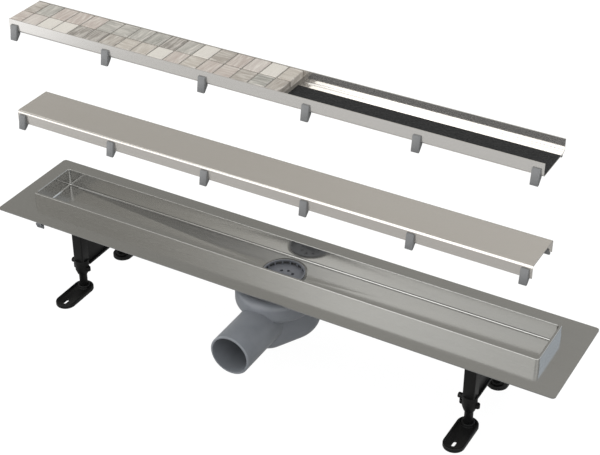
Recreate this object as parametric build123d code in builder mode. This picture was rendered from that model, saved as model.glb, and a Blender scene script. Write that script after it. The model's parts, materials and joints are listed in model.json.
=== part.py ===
# Linear shower drain: a pressed steel channel with a side-outlet trap, two support brackets on
# levelling feet, and a reversible cover shown both ways up: plain face up, and as a tile tray.
# Millimetres. X runs along the channel, Y across it, Z up.
# The origin is the middle of the mouth that the rim makes for the cover, in the plane of the rim's top.
import os

from build123d import *

os.makedirs("parts", exist_ok=True)

# Channel
sheet = 1.5
flange_length = 722.0
flange_width = 134.0
flange_corner = 4.0
rim_length = 659.0
rim_width = 69.0
rim_corner = 4.0
rim_height = 14.5
trough_depth = 23.0
trough_bend = 2.5
pan_border = 0.5
bottom_fall = 1.5
fold_round = 0.7
hem_height = 7.5
upstand_step = 0.45
fold_step = 1.0
drain_x = 4.0

# Inlet ring, clamped through the channel's bottom into the trap
ring_radius = 27.0
ring_flange_thickness = 1.2
sleeve_radius = 25.4
sleeve_wall = 1.2
sleeve_length = 17.0
sleeve_ledge_width = 1.6
sleeve_ledge_drop = 11.0
hole_clearance = 0.3
seat_margin = 1.0
pan_margin = 2.0
valley_half = 1.5
thread_clearance = 0.1

# Gasket between the channel and the trap
gasket_radius = 36.0
gasket_thickness = 2.0

# Trap
trap_wall = 3.0
trap_collar_radius = 34.0
trap_collar_height = 6.0
trap_x = -1.0
upper_bowl_radius = 48.0
upper_bowl_height = 27.0
upper_bowl_round = 9.0
upper_bowl_y = -9.0
body_radius = 44.0
body_y = 8.0
body_front_radius = 27.0
body_front_y = -28.0
body_top_drop = 3.0
body_top_round = 6.0
body_bottom_round = 20.0
trap_bottom = -107.0
outlet_radius = 25.0
outlet_wall = 2.6
outlet_height = -70.0
outlet_reach = 113.0
outlet_chamfer = 1.0
outlet_free_length = 52.0
outlet_root_growth = 1.2
outlet_root_y = -20.0
seat_rib_count = 3
seat_rib_width = 3.0
seat_rib_height = 5.0
seat_rib_length = 12.0
seat_rib_start = 14.0

# Water-seal insert
insert_clearance = 0.2
tube_radius = 15.0
tube_wall = 1.8
tube_lip_thickness = 2.0
tube_length = 52.0
cup_radius = 22.0
cup_wall = 1.8
cup_rim = -56.0
cup_round = 5.0

# Strainer
strainer_lip_width = 0.8
strainer_lip_thickness = 0.8
strainer_wall = 1.0
strainer_depth = 6.2
strainer_floor = 1.4
strainer_slot_count = 16
strainer_slot_width = 7.0
strainer_slot_height = 4.0
strainer_hole_radius = 1.9
strainer_hole_count = 8
strainer_hole_circle = 10.5
grip_length = 12.0
grip_width = 2.4
grip_height = 3.0

# Reversible cover
cover_sheet = 1.2
cover_length = 650.0
cover_width = 56.0
cover_height = 15.0
cover_bend = 3.0
plain_cover_place = (-12.0, -9.0, 114.0)
tile_tray_place = (-12.5, -4.5, 230.5)

# Cover clips
clip_count = 6
clip_end_distance = 7.5
clip_width = 9.0
plain_clip_overlap = 11.0
plain_clip_drop = 7.0
tray_clip_overlap = 9.0
tray_clip_drop = 9.0
clip_pad = 2.4
clip_hook = 1.5
clip_hook_height = 2.5
clip_hook_clearance = 0.1
clip_seat_width = 3.6
clip_flare = 2.6
clip_foot_width = 2.6
clip_chamfer = 1.0

# Tile tray filling
lining_thickness = 1.4
lining_gap = 0.2
lining_strip = 10.0
tile_columns = 15
tile_pitch = 21.4
tile_joint = 1.4
tile_thickness = 8.0
tile_start_cut = 15.7
tile_end_cut = 16.4
tile_row_shift = 1.5
tile_edge_round = 0.6
tile_wall_gap = 0.25
grout_drop = 0.8

# Support brackets and levelling feet
leg_end_distance = 101.0
leg_y = 40.5
post_width = 14.0
post_depth = 13.0
post_bottom = -71.0
post_bore_top = -22.0
post_round = 1.5
stem_radius = 5.0
stem_clearance = 0.06
stem_top = -38.0
stem_chamfer = 1.0
web_thickness = 4.0
web_bottom = -83.0
web_rib_width = 10.0
web_rib_thickness = 3.0
saddle_length = 34.0
saddle_thickness = 3.0
collar_radius = 8.5
collar_height = 9.0
collar_gap = 0.5
collar_ear_reach = 12.0
collar_ear_thickness = 6.0
collar_ear_height = 5.0
collar_neck_radius = 6.4
collar_neck_height = 6.0
screw_boss_reach = 9.5
screw_boss_width = 7.5
screw_drop = 4.8
screw_head_radius = 3.2
screw_head_length = 4.5
screw_shank_radius = 1.8
screw_hole_clearance = 0.1
screw_tip_gap = 0.4
foot_length = 60.0
foot_width = 25.0
foot_heel = 11.0
foot_thickness = 5.0
foot_lip = 2.6
foot_recess = 1.8
foot_round = 1.2
foot_boss_radius = 7.5
foot_boss_height = 4.0
foot_slot_length = 10.0
foot_slot_width = 4.0
foot_slot_from_toe = 12.5
floor_level = -115.0

# Bonding lug and its bolt
lug_end_distance = 56.5
lug_edge_distance = 9.0
lug_width = 10.0
lug_length = 9.0
lug_height = 14.0
lug_thickness = 1.5
bolt_radius = 2.5
bolt_hole_clearance = 0.1
bolt_head_radius = 4.5
bolt_head_length = 3.0
bolt_length = 7.0

# Worked out from the values above
hem = 2 * sheet
flange_top = -rim_height
flange_underside = flange_top - sheet
upstand_length = rim_length + 2 * upstand_step
upstand_width = rim_width + 2 * upstand_step
trough_length = rim_length - 2 * hem
trough_width = rim_width - 2 * hem
trough_corner = rim_corner - fold_step
bottom_edge = -trough_depth
bottom_middle = bottom_edge - bottom_fall
underside_middle = bottom_middle - sheet
pan_length = trough_length - 2 * (trough_bend + pan_border)
pan_width = trough_width - 2 * (trough_bend + pan_border)
drain_hole_radius = sleeve_radius + hole_clearance
seat_radius = ring_radius + seat_margin
pan_half = seat_radius + pan_margin
ring_top = bottom_middle + ring_flange_thickness
sleeve_bottom = bottom_middle - sleeve_length
sleeve_bore = sleeve_radius - sleeve_wall
ledge_level = ring_top - sleeve_ledge_drop
gasket_bottom = underside_middle - gasket_thickness
upper_bowl_top = gasket_bottom - trap_collar_height
upper_bowl_bottom = upper_bowl_top - upper_bowl_height
strainer_bottom = ring_top - strainer_depth
tube_end = ledge_level - tube_length
strainer_radius = sleeve_bore - insert_clearance
cup_bottom = trap_bottom + trap_wall + seat_rib_height
clip_pitch = (cover_length - 2 * clip_end_distance) / (clip_count - 1)
leg_x = flange_length / 2 - leg_end_distance
collar_top = post_bottom
collar_body_bottom = collar_top - collar_height
collar_ear_bottom = collar_body_bottom - collar_ear_height
collar_bottom = collar_ear_bottom - collar_neck_height
screw_level = collar_top - screw_drop
stem_bore = stem_radius + stem_clearance
fall_run = trough_length / 2 - drain_x - pan_half
saddle_inner_edge = trough_length / 2 - leg_x + saddle_length / 2
saddle_top = bottom_edge - sheet - bottom_fall * saddle_inner_edge / fall_run
foot_top = floor_level + foot_thickness
foot_floor = foot_top - foot_recess
lug_x = lug_end_distance - flange_length / 2
lug_y = lug_edge_distance - flange_width / 2
bolt_level = flange_underside - lug_thickness - (lug_height - lug_thickness) / 2


def write(piece, name):
    piece.part.label = name
    export_step(piece.part, f"parts/{name}.step")


def at_drain(piece):
    """The same piece, moved from the origin to the axis of the drain inlet."""
    with BuildPart() as moved:
        with Locations((drain_x, 0, 0)):
            add(piece.part)
    return moved


def make_trough_hollow():
    """The room inside the trough, with the bend that leads from its walls into its bottom."""
    with BuildPart() as hollow:
        with BuildSketch(Plane.XY.offset(bottom_edge)):
            RectangleRounded(trough_length, trough_width, trough_corner)
        extrude(amount=trough_depth)
        fillet(hollow.faces().sort_by(Axis.Z)[0].edges(), radius=trough_bend)
    return hollow


def make_channel():
    """One pressed sheet: flange, hemmed rim, and a trough whose bottom folds down to the drain's seat."""
    with BuildPart() as channel:
        with BuildSketch(Plane.XY.offset(flange_underside)):
            RectangleRounded(flange_length, flange_width, flange_corner)
        extrude(amount=sheet)
        with BuildSketch(Plane.XY.offset(flange_underside)):
            RectangleRounded(rim_length, rim_width, rim_corner)
        extrude(amount=rim_height + sheet)
        with BuildSketch(Plane.XY.offset(flange_underside)):
            RectangleRounded(upstand_length, upstand_width, rim_corner + upstand_step)
        extrude(amount=rim_height + sheet - hem_height)
        with BuildSketch(Plane.XY.offset(bottom_edge - sheet)):
            RectangleRounded(trough_length + 2 * sheet, trough_width + 2 * sheet, trough_corner + sheet)
        extrude(amount=trough_depth)
        with BuildSketch(Plane.XY.offset(bottom_edge - sheet)):
            Rectangle(trough_length, trough_width)
        with BuildSketch(Plane.XY.offset(underside_middle)):
            with Locations((drain_x, 0)):
                Rectangle(2 * pan_half, 2 * valley_half)
        loft(ruled=True)
        with BuildSketch(Plane.XY.offset(underside_middle)):
            with Locations((drain_x, 0)):
                Circle(seat_radius + sheet)
        extrude(amount=bottom_fall)
        add(make_trough_hollow().part, mode=Mode.SUBTRACT)
        with BuildSketch(Plane.XY.offset(bottom_edge)):
            Rectangle(pan_length, pan_width)
        with BuildSketch(Plane.XY.offset(bottom_middle)):
            with Locations((drain_x, 0)):
                Rectangle(2 * pan_half, 2 * valley_half)
        loft(ruled=True, mode=Mode.SUBTRACT)
        with BuildSketch(Plane.XY.offset(bottom_middle)):
            with Locations((drain_x, 0)):
                Circle(seat_radius)
        extrude(amount=bottom_fall, mode=Mode.SUBTRACT)
        with BuildSketch(Plane.XY.offset(underside_middle)):
            with Locations((drain_x, 0)):
                Circle(drain_hole_radius)
        extrude(amount=trough_depth, mode=Mode.SUBTRACT)
        fillet(channel.faces().sort_by(Axis.Z)[-1].edges(), radius=fold_round)
    return channel


def make_inlet_ring():
    with BuildPart() as ring:
        with BuildSketch(Plane.XZ):
            with BuildLine():
                Polyline(
                    (sleeve_bore, ring_top),
                    (ring_radius, ring_top),
                    (ring_radius, bottom_middle),
                    (sleeve_radius, bottom_middle),
                    (sleeve_radius, sleeve_bottom),
                    (sleeve_bore - sleeve_ledge_width, sleeve_bottom),
                    (sleeve_bore - sleeve_ledge_width, ledge_level),
                    (sleeve_bore, ledge_level),
                    close=True,
                )
            make_face()
        revolve(axis=Axis.Z)
    return ring


def make_gasket():
    with BuildPart() as gasket:
        with BuildSketch(Plane.XY.offset(gasket_bottom)):
            Circle(gasket_radius)
            Circle(drain_hole_radius, mode=Mode.SUBTRACT)
        extrude(amount=gasket_thickness)
    return gasket


def trap_form(inset):
    """The trap's outer form, or with an inset its hollow: shallow round bowl, egg-shaped body, pipe."""
    pipe_inset = outlet_wall if inset else 0
    body_bottom = trap_bottom + inset
    body_top = upper_bowl_top - body_top_drop - inset
    with BuildPart() as form:
        with BuildSketch(Plane.XY.offset(upper_bowl_bottom + inset)):
            with Locations((trap_x, upper_bowl_y)):
                Circle(upper_bowl_radius - inset)
        extrude(amount=upper_bowl_height - 2 * inset)
        fillet(form.edges().filter_by(GeomType.CIRCLE), radius=upper_bowl_round - inset)
    with BuildPart() as body:
        with BuildSketch(Plane.XY.offset(body_bottom)):
            with Locations((trap_x, body_y)):
                Circle(body_radius - inset)
            with Locations((trap_x, body_front_y)):
                Circle(body_front_radius - inset)
            make_hull()
        extrude(amount=body_top - body_bottom)
        fillet(body.edges().group_by(Axis.Z)[0], radius=body_bottom_round - inset)
        fillet(body.edges().group_by(Axis.Z)[-1], radius=body_top_round - inset)
    with BuildPart() as pipe:
        with BuildSketch(Plane.XZ.offset(-body_y)):
            with Locations((trap_x, outlet_height)):
                Circle(outlet_radius - pipe_inset)
        extrude(amount=outlet_reach + body_y)
    with BuildPart() as whole:
        add(form.part)
        add(body.part)
        add(pipe.part)
    return whole


def make_trap_body():
    """Bowl, side outlet and threaded inlet collar in one moulding."""
    outside = trap_form(0)
    hollow = trap_form(trap_wall)
    neck_bore = sleeve_radius + thread_clearance
    root_start = outlet_reach - outlet_chamfer - outlet_free_length
    with BuildPart() as trap:
        add(outside.part)
        with BuildSketch(Plane.XZ.offset(root_start)):
            with Locations((trap_x, outlet_height)):
                Circle(outlet_radius)
        with BuildSketch(Plane.XZ.offset(-outlet_root_y)):
            with Locations((trap_x, outlet_height)):
                Circle(outlet_radius + outlet_root_growth)
        loft()
        with BuildSketch(Plane.XY.offset(upper_bowl_top - upper_bowl_round)):
            with Locations((drain_x, 0)):
                Circle(trap_collar_radius)
        extrude(amount=trap_collar_height + upper_bowl_round)
        add(hollow.part, mode=Mode.SUBTRACT)
        with BuildSketch(Plane.XY.offset(upper_bowl_top - upper_bowl_round)):
            with Locations((drain_x, 0)):
                Circle(neck_bore)
        extrude(amount=trap_collar_height + upper_bowl_round, mode=Mode.SUBTRACT)
        mouth = trap.edges().group_by(Axis.Y)[0].sort_by(SortBy.RADIUS)[-1]
        chamfer(mouth, length=outlet_chamfer)
        with BuildSketch(Plane.XY.offset(trap_bottom + trap_wall)):
            with Locations((drain_x, 0)):
                with PolarLocations(seat_rib_start, seat_rib_count):
                    Rectangle(seat_rib_length, seat_rib_width)
        extrude(amount=seat_rib_height)
    return trap


def make_dip_tube():
    """Funnel and tube that carry the water down into the seal cup."""
    lip_radius = sleeve_bore - insert_clearance
    pass_radius = sleeve_bore - sleeve_ledge_width - insert_clearance
    funnel_end = ledge_level - (pass_radius - tube_radius)
    with BuildPart() as tube:
        with BuildSketch(Plane.XZ):
            with BuildLine():
                Polyline(
                    (pass_radius - tube_wall, ledge_level + tube_lip_thickness),
                    (lip_radius, ledge_level + tube_lip_thickness),
                    (lip_radius, ledge_level),
                    (pass_radius, ledge_level),
                    (tube_radius, funnel_end),
                    (tube_radius, tube_end),
                    (tube_radius - tube_wall, tube_end),
                    (tube_radius - tube_wall, funnel_end),
                    (pass_radius - tube_wall, ledge_level),
                    close=True,
                )
            make_face()
        revolve(axis=Axis.Z)
    return tube


def make_seal_cup():
    """Open cup that keeps the water round the end of the dip tube."""
    with BuildPart() as cup:
        with BuildSketch(Plane.XY.offset(cup_bottom)):
            Circle(cup_radius)
        extrude(amount=cup_rim - cup_bottom)
        fillet(cup.edges().group_by(Axis.Z)[0], radius=cup_round)
        offset(amount=-cup_wall, openings=cup.faces().sort_by(Axis.Z)[-1])
    return cup


def make_strainer():
    """Hair basket: a lip on the ring, a slotted wall and a perforated floor with a grip."""
    lip_radius = strainer_radius + strainer_lip_width
    with BuildPart() as strainer:
        with BuildSketch(Plane.XY.offset(strainer_bottom)):
            Circle(strainer_radius)
        extrude(amount=strainer_depth)
        with BuildSketch(Plane.XY.offset(ring_top)):
            Circle(lip_radius)
        extrude(amount=strainer_lip_thickness)
        with BuildSketch(Plane.XY.offset(strainer_bottom + strainer_floor)):
            Circle(strainer_radius - strainer_wall)
        extrude(amount=strainer_depth + strainer_lip_thickness, mode=Mode.SUBTRACT)
        slot_middle = strainer_bottom + strainer_floor + strainer_slot_height / 2
        with PolarLocations(strainer_radius - strainer_wall / 2, strainer_slot_count):
            with Locations((0, 0, slot_middle)):
                Box(2 * strainer_wall, strainer_slot_width, strainer_slot_height, mode=Mode.SUBTRACT)
        with BuildSketch(Plane.XY.offset(strainer_bottom)):
            with PolarLocations(strainer_hole_circle, strainer_hole_count):
                Circle(strainer_hole_radius)
        extrude(amount=strainer_floor, mode=Mode.SUBTRACT)
        with BuildSketch(Plane.XY.offset(strainer_bottom + strainer_floor)):
            SlotOverall(grip_length, grip_width)
        extrude(amount=grip_height)
    return strainer


def cover_profile():
    """Half-turned U of bent sheet, open downwards, its top face on the sketch's X axis."""
    half = cover_width / 2
    inner_bend = cover_bend - cover_sheet
    with BuildSketch(Plane.YZ) as profile:
        with BuildLine():
            Line((-half, -cover_height), (-half, -cover_bend))
            RadiusArc((-half, -cover_bend), (-half + cover_bend, 0), cover_bend)
            Line((-half + cover_bend, 0), (half - cover_bend, 0))
            RadiusArc((half - cover_bend, 0), (half, -cover_bend), cover_bend)
            Line((half, -cover_bend), (half, -cover_height))
            Line((half, -cover_height), (half - cover_sheet, -cover_height))
            Line((half - cover_sheet, -cover_height), (half - cover_sheet, -cover_bend))
            RadiusArc((half - cover_sheet, -cover_bend), (half - cover_bend, -cover_sheet), -inner_bend)
            Line((half - cover_bend, -cover_sheet), (-half + cover_bend, -cover_sheet))
            RadiusArc((-half + cover_bend, -cover_sheet), (-half + cover_sheet, -cover_bend), -inner_bend)
            Line((-half + cover_sheet, -cover_bend), (-half + cover_sheet, -cover_height))
            Line((-half + cover_sheet, -cover_height), (-half, -cover_height))
        make_face()
    return profile


def make_plain_cover():
    profile = cover_profile()
    with BuildPart() as cover:
        with Locations(Location(plain_cover_place)):
            add(profile.sketch)
        extrude(amount=cover_length / 2, dir=(1, 0, 0), both=True)
    return cover


def make_tile_tray():
    profile = cover_profile()
    x, y, z = tile_tray_place
    with BuildPart() as tray:
        with Locations(Location((x, y, z - cover_height), (180, 0, 0))):
            add(profile.sketch)
        extrude(amount=cover_length / 2, dir=(1, 0, 0), both=True)
    return tray


def clip_section(turned):
    """Side view of a springy clip on the front skirt: the skirt's outer face at 0, its lower edge at 0."""
    overlap = tray_clip_overlap if turned else plain_clip_overlap
    drop = tray_clip_drop if turned else plain_clip_drop
    inner = clip_seat_width if turned else cover_sheet + clip_hook_clearance + clip_hook
    foot_outer = clip_pad + clip_flare
    points = [
        (0, overlap),
        (-clip_pad + clip_chamfer, overlap),
        (-clip_pad, overlap - clip_chamfer),
        (-foot_outer, -drop),
        (clip_foot_width - foot_outer, -drop),
        (inner, -clip_hook_height),
    ]
    if turned:
        points += [(inner, 0), (0, 0)]
    else:
        slot = cover_sheet + clip_hook_clearance
        points += [(inner, clip_hook_height), (slot, clip_hook_height), (slot, 0), (0, 0)]
    return points


def make_clip(place, station, side, turned):
    """One plastic clip. It stands the cover on the channel's bottom and centres it between the walls."""
    x, y, z = place
    points = [(y + side * (cover_width / 2 - u), z - cover_height + v) for u, v in clip_section(turned)]
    along = x + (station - (clip_count - 1) / 2) * clip_pitch
    with BuildPart() as clip:
        with BuildSketch(Plane.YZ.offset(along - clip_width / 2)):
            with BuildLine():
                Polyline(*points, close=True)
            make_face()
        extrude(amount=clip_width)
    return clip


def lining_edges():
    x, y, z = tile_tray_place
    front = y - cover_width / 2 + cover_bend + lining_gap
    back = y + cover_width / 2 - cover_sheet - lining_strip
    return front, back


def make_lining():
    """Rough black bonding mat on the tray's floor, leaving a bare strip along the back."""
    x, y, z = tile_tray_place
    front, back = lining_edges()
    with BuildPart() as lining:
        with BuildSketch(Plane.XY.offset(z - cover_height + cover_sheet)):
            with Locations((x, (front + back) / 2)):
                Rectangle(cover_length, back - front)
        extrude(amount=lining_thickness)
    return lining


def tile_layout():
    """Columns as (left edge, width) from the tray's end, and rows as (middle, width)."""
    x, y, z = tile_tray_place
    inner_width = cover_width - 2 * (cover_sheet + tile_wall_gap)
    row_width = (inner_width - tile_joint) / 2
    left = x - cover_length / 2
    columns = [(left, tile_start_cut)]
    first = left + tile_start_cut + tile_joint
    columns += [(first + n * tile_pitch, tile_pitch - tile_joint) for n in range(tile_columns)]
    columns += [(first + tile_columns * tile_pitch, tile_end_cut)]
    front_width = row_width - tile_row_shift
    back_width = row_width + tile_row_shift
    rows = [
        (y - inner_width / 2 + front_width / 2, front_width),
        (y + inner_width / 2 - back_width / 2, back_width),
    ]
    return columns, rows


def make_tiles():
    columns, rows = tile_layout()
    with BuildPart() as tiles:
        for left, length in columns:
            for middle, width in rows:
                with BuildSketch(Plane.XY.offset(tile_tray_place[2] - tile_thickness)):
                    with Locations((left + length / 2, middle)):
                        Rectangle(length, width)
        extrude(amount=tile_thickness)
        top = tiles.faces().filter_by(Axis.Z).group_by(Axis.Z)[-1]
        chamfer(top.edges(), length=tile_edge_round)
    return tiles


def make_grout():
    """Adhesive bed under the tiles and the joints between them, one mass."""
    x, y, z = tile_tray_place
    columns, rows = tile_layout()
    floor = z - cover_height + cover_sheet
    left = columns[0][0]
    length = columns[-1][0] + columns[-1][1] - left
    width = cover_width - 2 * (cover_sheet + tile_wall_gap)
    lining_front, lining_back = lining_edges()
    with BuildPart() as grout:
        with BuildSketch(Plane.XY.offset(floor)):
            with Locations((left + length / 2, y)):
                Rectangle(length, width)
        extrude(amount=z - grout_drop - floor)
        long_edges = grout.edges().filter_by(Axis.X).group_by(Axis.Z)[0]
        fillet(long_edges, radius=cover_bend - cover_sheet)
        with BuildSketch(Plane.XY.offset(floor)):
            with Locations((left + length / 2, (lining_front + lining_back) / 2)):
                Rectangle(length, lining_back - lining_front)
        extrude(amount=lining_thickness, mode=Mode.SUBTRACT)
        with BuildSketch(Plane.XY.offset(z - tile_thickness)):
            for tile_left, tile_length in columns:
                for middle, tile_width in rows:
                    with Locations((tile_left + tile_length / 2, middle)):
                        Rectangle(tile_length, tile_width)
        extrude(amount=tile_thickness, mode=Mode.SUBTRACT)
    return grout


def make_bracket(side):
    """Cross beam under the trough with a bored post at each end, one moulding."""
    middle = side * leg_x
    trough_half = trough_width / 2 + sheet
    beam_half = leg_y - post_depth / 2 + post_round
    keel_half = leg_y - collar_radius - collar_gap
    with BuildPart() as bracket:
        with BuildSketch(Plane.XY.offset(post_bottom)):
            with Locations((middle, leg_y), (middle, -leg_y)):
                RectangleRounded(post_width, post_depth, post_round)
        extrude(amount=flange_underside - post_bottom)
        with BuildSketch(Plane.YZ.offset(middle - web_thickness / 2)):
            with BuildLine():
                Polyline(
                    (-beam_half, saddle_top),
                    (beam_half, saddle_top),
                    (beam_half, post_bottom),
                    (keel_half, post_bottom),
                    (keel_half, web_bottom),
                    (-keel_half, web_bottom),
                    (-keel_half, post_bottom),
                    (-beam_half, post_bottom),
                    close=True,
                )
            make_face()
        extrude(amount=web_thickness)
        with BuildSketch(Plane.XY.offset(web_bottom)):
            with Locations((middle, 0)):
                Rectangle(web_rib_width, 2 * keel_half)
        extrude(amount=web_rib_thickness)
        with BuildSketch(Plane.XY.offset(saddle_top - saddle_thickness)):
            with Locations((middle, 0)):
                Rectangle(saddle_length, 2 * trough_half)
        extrude(amount=saddle_thickness)
        with BuildSketch(Plane.XY.offset(post_bottom)):
            with Locations((middle, leg_y), (middle, -leg_y)):
                Circle(stem_bore)
        extrude(amount=post_bore_top - post_bottom, mode=Mode.SUBTRACT)
    return bracket


def make_collar(x, y):
    """Clamp collar under the post: a boss for its screw, two ears to grip and a neck, bored for the stem."""
    with BuildPart() as collar:
        with BuildSketch(Plane.XY.offset(collar_body_bottom)):
            with Locations((x, y)):
                Circle(collar_radius)
        extrude(amount=collar_height)
        with BuildSketch(Plane.YZ.offset(x - screw_boss_reach)):
            with Locations((y, screw_level)):
                Circle(screw_boss_width / 2)
        extrude(amount=screw_boss_reach - stem_radius)
        with BuildSketch(Plane.XY.offset(collar_ear_bottom)):
            with Locations((x, y)):
                Circle(collar_radius)
                SlotOverall(2 * collar_ear_reach, collar_ear_thickness)
        extrude(amount=collar_ear_height)
        with BuildSketch(Plane.XY.offset(collar_ear_bottom)):
            with Locations((x, y)):
                Circle(collar_radius)
        with BuildSketch(Plane.XY.offset(collar_bottom)):
            with Locations((x, y)):
                Circle(collar_neck_radius)
        loft()
        with BuildSketch(Plane.YZ.offset(x - screw_boss_reach)):
            with Locations((y, screw_level)):
                Circle(screw_shank_radius + screw_hole_clearance)
        extrude(amount=screw_boss_reach, mode=Mode.SUBTRACT)
        with BuildSketch(Plane.XY.offset(collar_bottom)):
            with Locations((x, y)):
                Circle(stem_bore)
        extrude(amount=collar_top - collar_bottom, mode=Mode.SUBTRACT)
    return collar


def make_clamp_screw(x, y):
    """Cross screw of a collar: a knurled head outside the boss and a shank short of the stem."""
    shank_length = screw_boss_reach - stem_bore - screw_tip_gap
    with BuildPart() as screw:
        with BuildSketch(Plane.YZ.offset(x - screw_boss_reach - screw_head_length)):
            with Locations((y, screw_level)):
                Circle(screw_head_radius)
        extrude(amount=screw_head_length)
        chamfer(screw.edges().group_by(Axis.X)[0], length=screw_head_radius / 5)
        with BuildSketch(Plane.YZ.offset(x - screw_boss_reach)):
            with Locations((y, screw_level)):
                Circle(screw_shank_radius)
        extrude(amount=shank_length)
    return screw


def make_stem(x, y):
    with BuildPart() as stem:
        with BuildSketch(Plane.XY.offset(foot_floor)):
            with Locations((x, y)):
                Circle(stem_radius)
        extrude(amount=stem_top - foot_floor)
        chamfer(stem.edges().group_by(Axis.Z)[-1], length=stem_chamfer)
    return stem


def make_foot(x, y):
    """Dished foot plate, long way outwards, with a fixing slot near its toe and a boss for the stem."""
    outward = 1 if y > 0 else -1
    middle = y + outward * (foot_length / 2 - foot_heel)
    slot_y = middle + outward * (foot_length / 2 - foot_slot_from_toe)
    with BuildPart() as foot:
        with BuildSketch(Plane.XY.offset(floor_level)):
            with Locations((x, middle)):
                SlotOverall(foot_length, foot_width, rotation=90)
        extrude(amount=foot_thickness)
        fillet(foot.faces().sort_by(Axis.Z)[-1].edges(), radius=foot_round)
        with BuildSketch(Plane.XY.offset(foot_floor)):
            with Locations((x, middle)):
                SlotOverall(foot_length - 2 * foot_lip, foot_width - 2 * foot_lip, rotation=90)
        extrude(amount=foot_recess, mode=Mode.SUBTRACT)
        with BuildSketch(Plane.XY.offset(floor_level)):
            with Locations((x, slot_y)):
                SlotOverall(foot_slot_length, foot_slot_width, rotation=90)
        extrude(amount=foot_thickness, mode=Mode.SUBTRACT)
        with BuildSketch(Plane.XY.offset(foot_floor)):
            with Locations((x, y)):
                Circle(foot_boss_radius)
                Circle(stem_bore, mode=Mode.SUBTRACT)
        extrude(amount=foot_boss_height)
    return foot


def make_bonding_lug():
    """Bent tab under the flange's corner that takes the bonding wire's bolt."""
    tab_x = lug_x - lug_width / 2
    with BuildPart() as lug:
        with BuildSketch(Plane.YZ.offset(tab_x)):
            with BuildLine():
                Polyline(
                    (lug_y, flange_underside),
                    (lug_y + lug_length, flange_underside),
                    (lug_y + lug_length, flange_underside - lug_thickness),
                    (lug_y + lug_thickness, flange_underside - lug_thickness),
                    (lug_y + lug_thickness, flange_underside - lug_height),
                    (lug_y, flange_underside - lug_height),
                    close=True,
                )
            make_face()
        extrude(amount=lug_width)
        with BuildSketch(Plane.XZ.offset(-lug_y - lug_thickness)):
            with Locations((lug_x, bolt_level)):
                Circle(bolt_radius + bolt_hole_clearance)
        extrude(amount=lug_thickness, mode=Mode.SUBTRACT)
    return lug


def make_bonding_bolt():
    with BuildPart() as bolt:
        with BuildSketch(Plane.XZ.offset(-lug_y)):
            with Locations((lug_x, bolt_level)):
                RegularPolygon(bolt_head_radius, 6)
        extrude(amount=bolt_head_length)
        with BuildSketch(Plane.XZ.offset(-lug_y - bolt_length)):
            with Locations((lug_x, bolt_level)):
                Circle(bolt_radius)
        extrude(amount=bolt_length)
    return bolt


pieces = {
    "channel_body": make_channel(),
    "inlet_ring": at_drain(make_inlet_ring()),
    "channel_gasket": at_drain(make_gasket()),
    "trap_body": make_trap_body(),
    "dip_tube": at_drain(make_dip_tube()),
    "seal_cup": at_drain(make_seal_cup()),
    "strainer_basket": at_drain(make_strainer()),
    "plain_cover": make_plain_cover(),
    "tile_tray": make_tile_tray(),
    "tray_lining": make_lining(),
    "mosaic_tiles": make_tiles(),
    "tile_grout": make_grout(),
    "support_bracket_left": make_bracket(-1),
    "support_bracket_right": make_bracket(1),
    "bonding_lug": make_bonding_lug(),
    "bonding_bolt": make_bonding_bolt(),
}
for cover, place, turned in (("cover", plain_cover_place, False), ("tray", tile_tray_place, True)):
    for side, row in ((-1, "front"), (1, "back")):
        for station in range(clip_count):
            pieces[f"{cover}_clip_{row}_{station + 1}"] = make_clip(place, station, side, turned)
for end, x in (("left", -leg_x), ("right", leg_x)):
    for row, y in (("front", -leg_y), ("back", leg_y)):
        pieces[f"clamp_collar_{row}_{end}"] = make_collar(x, y)
        pieces[f"clamp_screw_{row}_{end}"] = make_clamp_screw(x, y)
        pieces[f"foot_stem_{row}_{end}"] = make_stem(x, y)
        pieces[f"foot_plate_{row}_{end}"] = make_foot(x, y)

for name, piece in pieces.items():
    write(piece, name)
print(len(pieces), "pieces")
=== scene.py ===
# Linear shower drain: finishes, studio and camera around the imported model.
# Metres. X runs along the channel, Y across it (the outlet points to -Y), Z up.
import json
import math
import random

import bmesh
import bpy
from mathutils import Matrix, Vector

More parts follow.
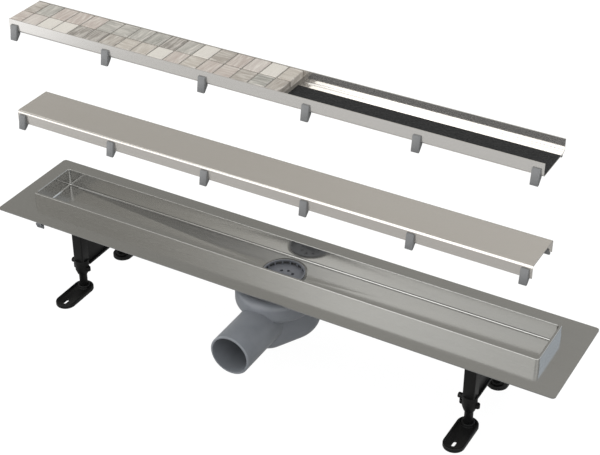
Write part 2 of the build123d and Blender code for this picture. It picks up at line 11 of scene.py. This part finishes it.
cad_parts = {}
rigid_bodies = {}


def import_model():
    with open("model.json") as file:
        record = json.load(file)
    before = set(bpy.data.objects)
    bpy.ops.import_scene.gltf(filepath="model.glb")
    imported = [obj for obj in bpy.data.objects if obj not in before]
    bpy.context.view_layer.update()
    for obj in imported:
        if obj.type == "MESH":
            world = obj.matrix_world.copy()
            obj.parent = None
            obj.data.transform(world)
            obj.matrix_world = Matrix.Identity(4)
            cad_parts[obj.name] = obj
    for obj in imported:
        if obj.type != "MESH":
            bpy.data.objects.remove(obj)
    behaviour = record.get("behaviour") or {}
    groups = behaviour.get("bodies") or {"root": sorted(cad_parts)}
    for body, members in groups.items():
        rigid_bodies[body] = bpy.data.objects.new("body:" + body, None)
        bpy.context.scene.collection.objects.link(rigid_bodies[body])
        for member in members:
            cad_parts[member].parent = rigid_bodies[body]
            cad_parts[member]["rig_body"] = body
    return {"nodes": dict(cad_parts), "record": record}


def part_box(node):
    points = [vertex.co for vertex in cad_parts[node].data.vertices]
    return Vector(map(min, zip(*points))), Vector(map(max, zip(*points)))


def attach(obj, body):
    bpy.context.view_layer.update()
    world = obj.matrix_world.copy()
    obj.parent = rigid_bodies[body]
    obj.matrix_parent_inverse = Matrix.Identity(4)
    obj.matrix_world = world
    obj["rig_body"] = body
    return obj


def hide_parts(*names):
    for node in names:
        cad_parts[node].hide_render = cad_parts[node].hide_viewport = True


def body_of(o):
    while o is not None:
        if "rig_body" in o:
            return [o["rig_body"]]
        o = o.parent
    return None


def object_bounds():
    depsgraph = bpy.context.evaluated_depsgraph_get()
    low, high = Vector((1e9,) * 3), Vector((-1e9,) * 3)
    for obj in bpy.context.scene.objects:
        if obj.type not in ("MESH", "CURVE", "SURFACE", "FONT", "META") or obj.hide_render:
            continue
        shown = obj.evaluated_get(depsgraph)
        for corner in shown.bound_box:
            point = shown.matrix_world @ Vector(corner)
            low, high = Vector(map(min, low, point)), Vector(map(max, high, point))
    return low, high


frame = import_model()
cadNodes = frame["nodes"]
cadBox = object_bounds()
mainBody = "drain"
mm = 0.001
# the band in which nearly all of a noise texture's values lie
noiseLow = 0.3
noiseHigh = 0.7


def toLinear(hexColour):
    channels = [int(hexColour[i:i + 2], 16) / 255 for i in (1, 3, 5)]
    return tuple(c / 12.92 if c <= 0.04045 else ((c + 0.055) / 1.055) ** 2.4 for c in channels) + (1.0,)


def addNode(tree, kind, settings=None, inputs=None, stops=None):
    # adds one node, sets its options and feeds its inputs with values or with other nodes' sockets
    node = tree.nodes.new(kind)
    for name, value in (settings or {}).items():
        setattr(node, name, value)
    for key, value in (inputs or {}).items():
        if isinstance(value, bpy.types.NodeSocket):
            tree.links.new(value, node.inputs[key])
        else:
            node.inputs[key].default_value = value
    if stops:
        elements = node.color_ramp.elements
        while len(elements) < len(stops):
            elements.new(0.5)
        for element, (position, colour) in zip(elements, stops):
            element.position = position
            element.color = toLinear(colour)
    return node


def startMaterial(name):
    material = bpy.data.materials.new(name)
    material.use_nodes = True
    tree = material.node_tree
    tree.nodes.clear()
    place = addNode(tree, "ShaderNodeTexCoord")
    return material, tree, place.outputs["Object"]


def endMaterial(tree, shader):
    addNode(tree, "ShaderNodeOutputMaterial", inputs={"Surface": shader.outputs[0]})


# Ground stainless steel: long soft streaks along X, reflections smeared across them
steelGrain = {"stretch": 0.012, "broadScale": (4.0, 30.0, 30.0), "reliefMm": 0.1}
channelSteel = {
    "dark": "#a4a4a2", "light": "#ababa9", "tint": "#a6a5a2",
    "roughLow": 0.12, "roughHigh": 0.17, "streakMm": 1.1, "bump": 0.012, "metallic": 0.92,
}
# Inlet ring: the channel's steel made much darker, painted shade for the shaded sleeve and slots down in the
# drain
shadedRingSteel = {
    "dark": "#6d6d6c", "light": "#777776", "tint": "#72716f",
    "roughLow": 0.2, "roughHigh": 0.26, "streakMm": 1.1, "bump": 0.006, "metallic": 0.92,
}
coverSteel = {
    "dark": "#dbd8d3", "light": "#e0ddd9", "tint": "#ddd8d2",
    "roughLow": 0.22, "roughHigh": 0.27, "streakMm": 0.9, "bump": 0.007, "metallic": 0.93,
}
traySteel = {
    "dark": "#dddbd8", "light": "#e2e0dd", "tint": "#dfdcd8",
    "roughLow": 0.1, "roughHigh": 0.14, "streakMm": 0.9, "bump": 0.004, "metallic": 0.86,
}


def brushedSteel(name, look):
    material, tree, place = startMaterial(name)
    across = 1 / (look["streakMm"] * mm)
    along = across * steelGrain["stretch"]
    streakPlace = addNode(tree, "ShaderNodeMapping", inputs={
        "Vector": place, "Scale": (along, across, across)})
    streaks = addNode(tree, "ShaderNodeTexNoise", inputs={
        "Vector": streakPlace.outputs["Vector"], "Scale": 1.0, "Detail": 3.0, "Roughness": 0.6})
    broadPlace = addNode(tree, "ShaderNodeMapping", inputs={
        "Vector": place, "Scale": steelGrain["broadScale"]})
    broad = addNode(tree, "ShaderNodeTexNoise", inputs={
        "Vector": broadPlace.outputs["Vector"], "Scale": 1.0, "Detail": 2.0})
    tone = addNode(tree, "ShaderNodeValToRGB", inputs={"Fac": streaks.outputs["Fac"]},
                   stops=[(noiseLow, look["dark"]), (noiseHigh, look["light"])])
    stained = addNode(tree, "ShaderNodeMixRGB", {"blend_type": "MIX"}, {
        "Fac": broad.outputs["Fac"], "Color1": tone.outputs["Color"],
        "Color2": toLinear(look["tint"])})
    rough = addNode(tree, "ShaderNodeMapRange", inputs={
        "Value": streaks.outputs["Fac"], "From Min": noiseLow, "From Max": noiseHigh,
        "To Min": look["roughLow"], "To Max": look["roughHigh"]})
    relief = addNode(tree, "ShaderNodeBump", inputs={
        "Height": streaks.outputs["Fac"], "Strength": look["bump"],
        "Distance": steelGrain["reliefMm"] * mm})
    shader = addNode(tree, "ShaderNodeBsdfPrincipled", inputs={
        "Base Color": stained.outputs["Color"], "Metallic": look["metallic"],
        "Roughness": rough.outputs["Result"], "Normal": relief.outputs["Normal"]})
    endMaterial(tree, shader)
    return material


# Moulded plastic and rubber: an even colour, a fine spark-eroded grain and slightly uneven gloss
mouldGrain = {"cloudScale": 35.0, "cloudLow": 0.35, "cloudHigh": 0.65, "glossSpread": 0.05, "reliefMm": 0.15}
trapPlastic = {
    "colour": "#6f7277", "shade": "#666a6f", "rough": 0.38, "grainMm": 1.5, "bump": 0.03, "ior": 1.49,
}
insertPlastic = {
    "colour": "#696b71", "shade": "#595c62", "rough": 0.42, "grainMm": 1.2, "bump": 0.05, "ior": 1.49,
}
clipPlastic = {
    "colour": "#6a6b6c", "shade": "#606162", "rough": 0.5, "grainMm": 0.9, "bump": 0.05, "ior": 1.5,
}
legPlastic = {
    "colour": "#0b0b0b", "shade": "#121212", "rough": 0.4, "grainMm": 1.0, "bump": 0.06, "ior": 1.28,
}
sealRubber = {
    "colour": "#1b1b1b", "shade": "#232323", "rough": 0.75, "grainMm": 1.0, "bump": 0.08, "ior": 1.52,
}


def mouldedPlastic(name, look):
    material, tree, place = startMaterial(name)
    grain = addNode(tree, "ShaderNodeTexNoise", inputs={
        "Vector": place, "Scale": 1 / (look["grainMm"] * mm), "Detail": 2.0})
    cloud = addNode(tree, "ShaderNodeTexNoise", inputs={
        "Vector": place, "Scale": mouldGrain["cloudScale"], "Detail": 3.0})
    tone = addNode(tree, "ShaderNodeValToRGB", inputs={"Fac": cloud.outputs["Fac"]}, stops=[
        (mouldGrain["cloudLow"], look["shade"]), (mouldGrain["cloudHigh"], look["colour"])])
    rough = addNode(tree, "ShaderNodeMapRange", inputs={
        "Value": cloud.outputs["Fac"], "From Min": noiseLow, "From Max": noiseHigh,
        "To Min": look["rough"] - mouldGrain["glossSpread"],
        "To Max": look["rough"] + mouldGrain["glossSpread"]})
    relief = addNode(tree, "ShaderNodeBump", inputs={
        "Height": grain.outputs["Fac"], "Strength": look["bump"],
        "Distance": mouldGrain["reliefMm"] * mm})
    shader = addNode(tree, "ShaderNodeBsdfPrincipled", inputs={
        "Base Color": tone.outputs["Color"], "Roughness": rough.outputs["Result"],
        "Normal": relief.outputs["Normal"], "IOR": look["ior"]})
    endMaterial(tree, shader)
    return material


# Honed stone mosaic: each tile has one of eight tones, beige, rose, grey or off-white, and its own veins
stoneLook = {
    "tones": ["#807b75", "#958e86", "#aaa39a", "#989690", "#a89d96", "#c8c4bd", "#8b8a84", "#b5ada7"],
    "vein": "#cfcbc4", "veinMm": 5.0, "veinAlong": 0.2, "veinAcross": 1.6, "veinDeep": 200.0,
    "veinStart": 0.42, "veinFull": 0.68, "veinMost": 0.75, "speckle": "#b4b0aa", "speckleShare": 0.6,
    "grainMm": 0.8, "rough": 0.5, "ior": 1.54, "bump": 0.15, "reliefMm": 0.3,
}


def stoneMosaic(name, look):
    # reads each tile's own shade and vein direction from the mesh
    material, tree, place = startMaterial(name)
    shade = addNode(tree, "ShaderNodeAttribute", {"attribute_name": "tileShade"})
    turn = addNode(tree, "ShaderNodeAttribute", {"attribute_name": "tileTurn"})
    steps = len(look["tones"])
    tone = addNode(tree, "ShaderNodeValToRGB", inputs={"Fac": shade.outputs["Fac"]},
                   stops=[(n / steps, colour) for n, colour in enumerate(look["tones"])])
    tone.color_ramp.interpolation = "CONSTANT"
    turned = addNode(tree, "ShaderNodeVectorRotate", {"rotation_type": "Z_AXIS"}, {
        "Vector": place, "Angle": turn.outputs["Fac"]})
    veinWidth = look["veinMm"] * mm
    veinScale = (look["veinAlong"] / veinWidth, look["veinAcross"] / veinWidth, look["veinDeep"])
    stretched = addNode(tree, "ShaderNodeMapping", inputs={
        "Vector": turned.outputs["Vector"], "Scale": veinScale})
    veins = addNode(tree, "ShaderNodeTexNoise", inputs={
        "Vector": stretched.outputs["Vector"], "Scale": 1.0, "Detail": 5.0, "Roughness": 0.65,
        "Distortion": 0.4})
    veinMask = addNode(tree, "ShaderNodeMapRange", inputs={
        "Value": veins.outputs["Fac"], "From Min": look["veinStart"], "From Max": look["veinFull"],
        "To Min": 0.0, "To Max": look["veinMost"]})
    grain = addNode(tree, "ShaderNodeTexNoise", inputs={
        "Vector": place, "Scale": 1 / (look["grainMm"] * mm), "Detail": 4.0, "Roughness": 0.7})
    veined = addNode(tree, "ShaderNodeMixRGB", {"blend_type": "MIX"}, {
        "Fac": veinMask.outputs["Result"], "Color1": tone.outputs["Color"],
        "Color2": toLinear(look["vein"])})
    speckle = addNode(tree, "ShaderNodeValToRGB", inputs={"Fac": grain.outputs["Fac"]},
                      stops=[(noiseLow, look["speckle"]), (noiseHigh, "#ffffff")])
    speckled = addNode(tree, "ShaderNodeMixRGB", {"blend_type": "MULTIPLY"}, {
        "Fac": look["speckleShare"], "Color1": veined.outputs["Color"],
        "Color2": speckle.outputs["Color"]})
    relief = addNode(tree, "ShaderNodeBump", inputs={
        "Height": veins.outputs["Fac"], "Strength": look["bump"], "Distance": look["reliefMm"] * mm})
    shader = addNode(tree, "ShaderNodeBsdfPrincipled", inputs={
        "Base Color": speckled.outputs["Color"], "Roughness": look["rough"],
        "Normal": relief.outputs["Normal"], "IOR": look["ior"]})
    endMaterial(tree, shader)
    return material


# Cement grout and a sanded black bonding mat: both matt and grainy
grainTone = {"start": 0.42, "full": 0.66, "reliefMm": 0.4}
groutLook = {"colour": "#7d7972", "shade": "#66625c", "grainMm": 0.7, "bump": 0.5, "rough": 0.9}
matLook = {"colour": "#060606", "shade": "#1d1d1e", "grainMm": 1.3, "bump": 0.9, "rough": 0.85}


def grainySurface(name, look):
    material, tree, place = startMaterial(name)
    grain = addNode(tree, "ShaderNodeTexNoise", inputs={
        "Vector": place, "Scale": 1 / (look["grainMm"] * mm), "Detail": 5.0, "Roughness": 0.7})
    tone = addNode(tree, "ShaderNodeValToRGB", inputs={"Fac": grain.outputs["Fac"]},
                   stops=[(grainTone["start"], look["colour"]), (grainTone["full"], look["shade"])])
    relief = addNode(tree, "ShaderNodeBump", inputs={
        "Height": grain.outputs["Fac"], "Strength": look["bump"], "Distance": grainTone["reliefMm"] * mm})
    shader = addNode(tree, "ShaderNodeBsdfPrincipled", inputs={
        "Base Color": tone.outputs["Color"], "Roughness": look["rough"],
        "Normal": relief.outputs["Normal"]})
    endMaterial(tree, shader)
    return material


# Zinc-plated steel: a bluish, slightly cloudy metal
zincLook = {
    "dark": "#6f7276", "light": "#9a9da0", "cloudMm": 3.0, "cloudLow": 0.35, "cloudHigh": 0.65,
    "roughLow": 0.25, "roughHigh": 0.42,
}


def zincPlate(name, look):
    material, tree, place = startMaterial(name)
    cloud = addNode(tree, "ShaderNodeTexNoise", inputs={
        "Vector": place, "Scale": 1 / (look["cloudMm"] * mm), "Detail": 4.0})
    tone = addNode(tree, "ShaderNodeValToRGB", inputs={"Fac": cloud.outputs["Fac"]},
                   stops=[(look["cloudLow"], look["dark"]), (look["cloudHigh"], look["light"])])
    rough = addNode(tree, "ShaderNodeMapRange", inputs={
        "Value": cloud.outputs["Fac"], "To Min": look["roughLow"], "To Max": look["roughHigh"]})
    shader = addNode(tree, "ShaderNodeBsdfPrincipled", inputs={
        "Base Color": tone.outputs["Color"], "Metallic": 1.0,
        "Roughness": rough.outputs["Result"]})
    endMaterial(tree, shader)
    return material


finishes = {
    "channel_steel": brushedSteel("groundStainlessChannel", channelSteel),
    "cover_steel": brushedSteel("groundStainlessCover", coverSteel),
    "gasket_rubber": mouldedPlastic("mouldedEpdmSeal", sealRubber),
    "trap_plastic": mouldedPlastic("mouldedPolypropyleneTrap", trapPlastic),
    "insert_plastic": mouldedPlastic("mouldedPolypropyleneInsert", insertPlastic),
    "strainer_plastic": mouldedPlastic("mouldedPolypropyleneStrainer", insertPlastic),
    "clip_plastic": mouldedPlastic("mouldedAbsClip", clipPlastic),
    "lining": grainySurface("sandedBondingMat", matLook),
    "mosaic_stone": stoneMosaic("honedStoneMosaic", stoneLook),
    "grout": grainySurface("cementGrout", groutLook),
    "leg_plastic": mouldedPlastic("mouldedPolyamideLeg", legPlastic),
    "zinc_steel": zincPlate("zincPlatedSteel", zincLook),
}
nodeSlot = {part["node"]: part["material_slot"] for part in frame["record"]["subparts"]}
for name, solid in cadNodes.items():
    solid.data.materials.clear()
    solid.data.materials.append(finishes[nodeSlot[name]])
cadNodes["tile_tray"].data.materials[0] = brushedSteel("groundStainlessTray", traySteel)
# painted shade: the inlet ring gets the darker copy of the steel, for the shade inside the drain
cadNodes["inlet_ring"].data.materials[0] = brushedSteel("shadedStainlessRing", shadedRingSteel)
print("finishes given:", len(finishes))


# vertices nearer to each other than this are one
mergeMm = 0.002


def finishPiece(mesh, name, slot, body, replaced):
    # turns a bmesh into an object at the origin, gives it its finish and body, and hides the parts it
    # replaces
    bmesh.ops.remove_doubles(mesh, verts=mesh.verts, dist=mergeMm * mm)
    data = bpy.data.meshes.new(name)
    mesh.to_mesh(data)
    mesh.free()
    piece = bpy.data.objects.new(name, data)
    bpy.context.scene.collection.objects.link(piece)
    data.materials.append(finishes[slot])
    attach(piece, body)
    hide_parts(*replaced)
    return piece


# Stone tiles: one small block each, edges tumbled round, faces a little uneven
tileLook = {
    "seed": 7, "columns": 15, "pitchMm": 21.4, "jointMm": 1.4, "firstMm": 15.7, "lastMm": 16.4,
    "rowShiftMm": 1.5, "roundMm": 0.9, "roundSteps": 3, "unevenMm": 0.18, "turnSpread": 0.12,
}


def makeTiles(look):
    low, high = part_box("mosaic_tiles")
    rng = random.Random(look["seed"])
    joint = look["jointMm"] * mm
    pitch = look["pitchMm"] * mm
    rowShift = look["rowShiftMm"] * mm
    evenWidth = (high.y - low.y - joint) / 2
    frontWidth = evenWidth - rowShift
    rows = [(low.y, frontWidth), (low.y + frontWidth + joint, evenWidth + rowShift)]
    mesh = bmesh.new()
    shadeLayer = mesh.verts.layers.float.new("tileShade")
    turnLayer = mesh.verts.layers.float.new("tileTurn")
    second = low.x + look["firstMm"] * mm + joint
    columns = [(low.x, look["firstMm"] * mm)]
    columns += [(second + n * pitch, pitch - joint) for n in range(look["columns"])]
    columns.append((second + look["columns"] * pitch, look["lastMm"] * mm))
    for left, length in columns:
        for front, rowWidth in rows:
            middle = Vector((left + length / 2, front + rowWidth / 2, (low.z + high.z) / 2))
            size = Matrix.Diagonal((length, rowWidth, high.z - low.z, 1.0))
            block = bmesh.ops.create_cube(mesh, size=1.0, matrix=Matrix.Translation(middle) @ size)
            corners = block["verts"]
            top = [v for v in corners if v.co.z > middle.z]
            for v in top:
                v.co.z -= rng.uniform(0, look["unevenMm"]) * mm
            edges = list({e for v in top for e in v.link_edges})
            bevelled = bmesh.ops.bevel(
                mesh, geom=edges + top, offset=look["roundMm"] * mm, segments=look["roundSteps"],
                profile=0.5, affect="EDGES", material=-1)
            tileVerts = set(bevelled["verts"]) | {v for v in corners if v.is_valid}
            shade = rng.random()
            turn = rng.uniform(-look["turnSpread"], look["turnSpread"])
            turn += rng.choice((0.0, math.pi / 2, math.pi / 2))
            for v in tileVerts:
                v[shadeLayer] = shade
                v[turnLayer] = turn
    finishPiece(mesh, "mosaicTiles", "mosaic_stone", mainBody, ["mosaic_tiles"])


# Bonding mat: a sheet of coarse sand stuck to felt
matSheet = {"grainMm": 1.5, "heightMm": 0.7, "seed": 3}


def makeMat(look):
    low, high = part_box("tray_lining")
    columns = int((high.x - low.x) / (look["grainMm"] * mm))
    rows = int((high.y - low.y) / (look["grainMm"] * mm))
    middle = (low + high) / 2
    place = Matrix.Translation((middle.x, middle.y, high.z))
    size = Matrix.Diagonal((high.x - low.x, high.y - low.y, 1.0, 1.0))
    mesh = bmesh.new()
    bmesh.ops.create_grid(mesh, x_segments=columns, y_segments=rows, size=0.5, matrix=place @ size)
    rng = random.Random(look["seed"])
    border = {v for e in mesh.edges if e.is_boundary for v in e.verts}
    for v in mesh.verts:
        if v in border:
            v.co.z -= look["heightMm"] * mm
        else:
            v.co.z -= rng.random() ** 2 * look["heightMm"] * mm
    rim = [e for e in mesh.edges if e.is_boundary]
    skirt = bmesh.ops.extrude_edge_only(mesh, edges=rim)
    for v in skirt["geom"]:
        if isinstance(v, bmesh.types.BMVert):
            v.co.z = low.z
    hem = [e for e in skirt["geom"] if isinstance(e, bmesh.types.BMEdge) and e.is_boundary]
    bmesh.ops.contextual_create(mesh, geom=hem)
    bmesh.ops.recalc_face_normals(mesh, faces=mesh.faces)
    finishPiece(mesh, "bondingMat", "lining", mainBody, ["tray_lining"])


# Moulded and pressed small parts: the solid again, with its sharp edges broken so that they catch the light
edgeBreaks = {"clip_plastic": 0.6, "leg_plastic": 0.8, "zinc_steel": 0.4}
flatAngle = math.radians(1)
foldedAngle = math.radians(38)


def breakEdges(node, slot, breakMm):
    mesh = bmesh.new()
    mesh.from_mesh(cadNodes[node].data)
    bmesh.ops.remove_doubles(mesh, verts=mesh.verts, dist=mergeMm * mm)
    bmesh.ops.dissolve_limit(mesh, angle_limit=flatAngle, verts=mesh.verts, edges=mesh.edges)
    sharp = [e for e in mesh.edges if len(e.link_faces) == 2 and e.calc_face_angle() > foldedAngle]
    bmesh.ops.bevel(
        mesh, geom=sharp, offset=breakMm * mm, segments=2, profile=0.5, affect="EDGES",
        clamp_overlap=True, material=-1)
    piece = finishPiece(mesh, node + "_soft", slot, body_of(cadNodes[node])[0], [node])
    for polygon in piece.data.polygons:
        polygon.use_smooth = True
    piece.data.set_sharp_from_angle(angle=foldedAngle)


for node in sorted(cadNodes):
    if nodeSlot[node] in edgeBreaks:
        breakEdges(node, nodeSlot[node], edgeBreaks[nodeSlot[node]])
print("small parts' edges broken")
makeTiles(tileLook)
print("tiles laid")
makeMat(matSheet)
print("bonding mat laid")


# Floor below the feet at their lowest. The camera sees white paper. In reflections, and as a light,
# the floor is a row of glowing cards from the left of the studio to its right.
floorLook = {
    "size": 14.0, "gap": 0.026, "glow": 0.93, "shade": "#595959",
    "cardGlow": 1.7, "cardNear": 0.6, "cardSlope": -0.25, "cardLeft": -1.2, "cardRight": 0.8,
}
cardTones = [
    (0.0, "#ffffff"), (0.1, "#fafafa"), (0.2, "#e6e6e6"), (0.23, "#d2d2d2"), (0.26, "#bfbfbf"),
    (0.3, "#b3b3b2"), (0.35, "#b0b0af"), (0.6, "#ababaa"), (0.7, "#aaaaa9"), (1.0, "#aaaaa9")]

floorMesh = bmesh.new()
floorPlane = Matrix.Translation((0, 0, cadBox[0][2] - floorLook["gap"]))
bmesh.ops.create_grid(floorMesh, x_segments=1, y_segments=1, size=floorLook["size"] / 2, matrix=floorPlane)
floorData = bpy.data.meshes.new("studioFloor")
floorMesh.to_mesh(floorData)
floorMesh.free()
floorObject = bpy.data.objects.new("studioFloor", floorData)
bpy.context.scene.collection.objects.link(floorObject)

floorMaterial, floorTree, floorPlace = startMaterial("paleFloor")
floorAxes = addNode(floorTree, "ShaderNodeSeparateXYZ", inputs={"Vector": floorPlace})
cardAcross = addNode(floorTree, "ShaderNodeMapRange", inputs={
    "Value": floorAxes.outputs["X"], "From Min": floorLook["cardLeft"], "From Max": floorLook["cardRight"]})
cardTone = addNode(floorTree, "ShaderNodeValToRGB", inputs={"Fac": cardAcross.outputs["Result"]},
                   stops=cardTones)
cardDepth = addNode(floorTree, "ShaderNodeMath", {"operation": "MULTIPLY_ADD"}, {
    0: floorAxes.outputs["Y"], 1: floorLook["cardSlope"] * floorLook["cardGlow"],
    2: floorLook["cardNear"] * floorLook["cardGlow"]})
cards = addNode(floorTree, "ShaderNodeEmission", inputs={
    "Color": cardTone.outputs["Color"], "Strength": cardDepth.outputs["Value"]})
paper = addNode(floorTree, "ShaderNodeBsdfPrincipled", inputs={
    "Base Color": toLinear(floorLook["shade"]), "Roughness": 1.0, "Specular IOR Level": 0.0,
    "Emission Color": toLinear("#ffffff"), "Emission Strength": floorLook["glow"]})
path = addNode(floorTree, "ShaderNodeLightPath")
endMaterial(floorTree, addNode(floorTree, "ShaderNodeMixShader", inputs={
    0: path.outputs["Is Camera Ray"], 1: cards.outputs["Emission"], 2: paper.outputs["BSDF"]}))
floorData.materials.append(floorMaterial)

# Soft studio all around: tones in front, high up, low down and behind, each list from left to right
skyLook = {
    "glow": 3.7, "sideBlend": 0.35, "highStart": 0.57, "highFull": 0.63, "lowStart": 0.30, "lowFull": 0.10,
    "topGlow": 1.5, "topTint": 0.98, "topStart": 0.72, "topFull": 0.92,
}
frontTones = [
    (0.000, "#918f8b"), (0.215, "#918f8b"), (0.232, "#8b8985"), (0.242, "#8b8985"), (0.250, "#95938f"),
    (0.259, "#a4a29e"), (0.269, "#b2b0ac"), (0.278, "#b7b5b1"), (0.288, "#cbc9c5"), (0.298, "#e3e3e3"),
    (0.309, "#ffffff"), (0.320, "#f4f4f4"), (0.331, "#eaeaea"), (0.342, "#e3e3e3"), (0.366, "#dbdbdb"),
    (0.400, "#d3d3d3"), (0.500, "#b5b5b5"), (0.650, "#a5a5a5"), (0.780, "#cbcbcb"), (1.000, "#b9b9b9")]
highTones = [(0.0, "#6f7176"), (0.285, "#6f7176"), (0.31, "#ffffff")]
lowTones = [(0.0, "#dcdcdc"), (0.25, "#d4d4d4"), (0.3, "#b8b8b8"), (1.0, "#a8a8a8")]
backTones = [
    (0.000, "#605f5c"), (0.280, "#605f5c"), (0.310, "#676663"), (0.500, "#696866"), (0.575, "#8e939a"),
    (0.645, "#b0b9c4"), (0.725, "#9aa0a5"), (0.780, "#8b8b8b"), (1.000, "#878787")]

world = bpy.data.worlds.new("softStudio")
bpy.context.scene.world = world
world.use_nodes = True
sky = world.node_tree
sky.nodes.clear()
skyPlace = addNode(sky, "ShaderNodeTexCoord")
skyAxes = addNode(sky, "ShaderNodeSeparateXYZ", inputs={"Vector": skyPlace.outputs["Generated"]})
sideways = addNode(sky, "ShaderNodeMapRange", inputs={
    "Value": skyAxes.outputs["X"], "From Min": -1.0, "From Max": 1.0})
front = addNode(sky, "ShaderNodeValToRGB", inputs={"Fac": sideways.outputs["Result"]}, stops=frontTones)
high = addNode(sky, "ShaderNodeValToRGB", inputs={"Fac": sideways.outputs["Result"]}, stops=highTones)
back = addNode(sky, "ShaderNodeValToRGB", inputs={"Fac": sideways.outputs["Result"]}, stops=backTones)
highness = addNode(sky, "ShaderNodeMapRange", {"interpolation_type": "SMOOTHSTEP"}, {
    "Value": skyAxes.outputs["Z"], "From Min": skyLook["highStart"], "From Max": skyLook["highFull"]})
frontHigh = addNode(sky, "ShaderNodeMixRGB", {"blend_type": "MULTIPLY"}, {
    "Fac": highness.outputs["Result"], "Color1": front.outputs["Color"], "Color2": high.outputs["Color"]})
low = addNode(sky, "ShaderNodeValToRGB", inputs={"Fac": sideways.outputs["Result"]}, stops=lowTones)
lowness = addNode(sky, "ShaderNodeMapRange", {"interpolation_type": "SMOOTHSTEP"}, {
    "Value": skyAxes.outputs["Z"], "From Min": skyLook["lowStart"], "From Max": skyLook["lowFull"]})
frontAll = addNode(sky, "ShaderNodeMixRGB", {"blend_type": "MIX"}, {
    "Fac": lowness.outputs["Result"], "Color1": frontHigh.outputs["Color"], "Color2": low.outputs["Color"]})
frontness = addNode(sky, "ShaderNodeMapRange", {"interpolation_type": "SMOOTHSTEP"}, {
    "Value": skyAxes.outputs["Y"], "From Min": skyLook["sideBlend"], "From Max": -skyLook["sideBlend"]})
around = addNode(sky, "ShaderNodeMixRGB", {"blend_type": "MIX"}, {
    "Fac": frontness.outputs["Result"], "Color1": back.outputs["Color"], "Color2": frontAll.outputs["Color"]})
topness = addNode(sky, "ShaderNodeMapRange", {"interpolation_type": "SMOOTHSTEP"}, {
    "Value": skyAxes.outputs["Z"], "From Min": skyLook["topStart"], "From Max": skyLook["topFull"]})
topLight = skyLook["topGlow"] / skyLook["glow"]
glow = addNode(sky, "ShaderNodeMixRGB", {"blend_type": "MIX"}, {
    "Fac": topness.outputs["Result"], "Color1": around.outputs["Color"],
    "Color2": (topLight, topLight, topLight * skyLook["topTint"], 1.0)})
background = addNode(sky, "ShaderNodeBackground", inputs={
    "Color": glow.outputs["Color"], "Strength": skyLook["glow"]})
addNode(sky, "ShaderNodeOutputWorld", inputs={"Surface": background.outputs["Background"]})

# Key light from the left, not seen in reflections
keyLook = {"place": (-1.9, -0.7, 0.9), "size": 1.2, "power": 22.0}

key = bpy.data.lights.new("keyLight", "AREA")
key.shape = "SQUARE"
key.size = keyLook["size"]
key.energy = keyLook["power"]
keyObject = bpy.data.objects.new("keyLight", key)
keyObject.location = keyLook["place"]
keyObject.visible_glossy = False
keyObject.rotation_euler = (-keyObject.location).to_track_quat("-Z", "Y").to_euler()
bpy.context.scene.collection.objects.link(keyObject)

# The photo's camera, tilt and turn in degrees
view = {
    "place": (0.6940, -1.1746, 0.9411), "tilt": 90 - 33.534, "turn": 29.648, "lens": 86.74, "sensor": 36.0,
}

camera = bpy.data.cameras.new("photoView")
camera.lens = view["lens"]
camera.sensor_width = view["sensor"]
cameraObject = bpy.data.objects.new("photoView", camera)
cameraObject.location = view["place"]
cameraObject.rotation_euler = (math.radians(view["tilt"]), 0, math.radians(view["turn"]))
bpy.context.scene.collection.objects.link(cameraObject)
bpy.context.scene.camera = cameraObject
bpy.context.scene.view_settings.view_transform = "Standard"
print("studio and camera set")
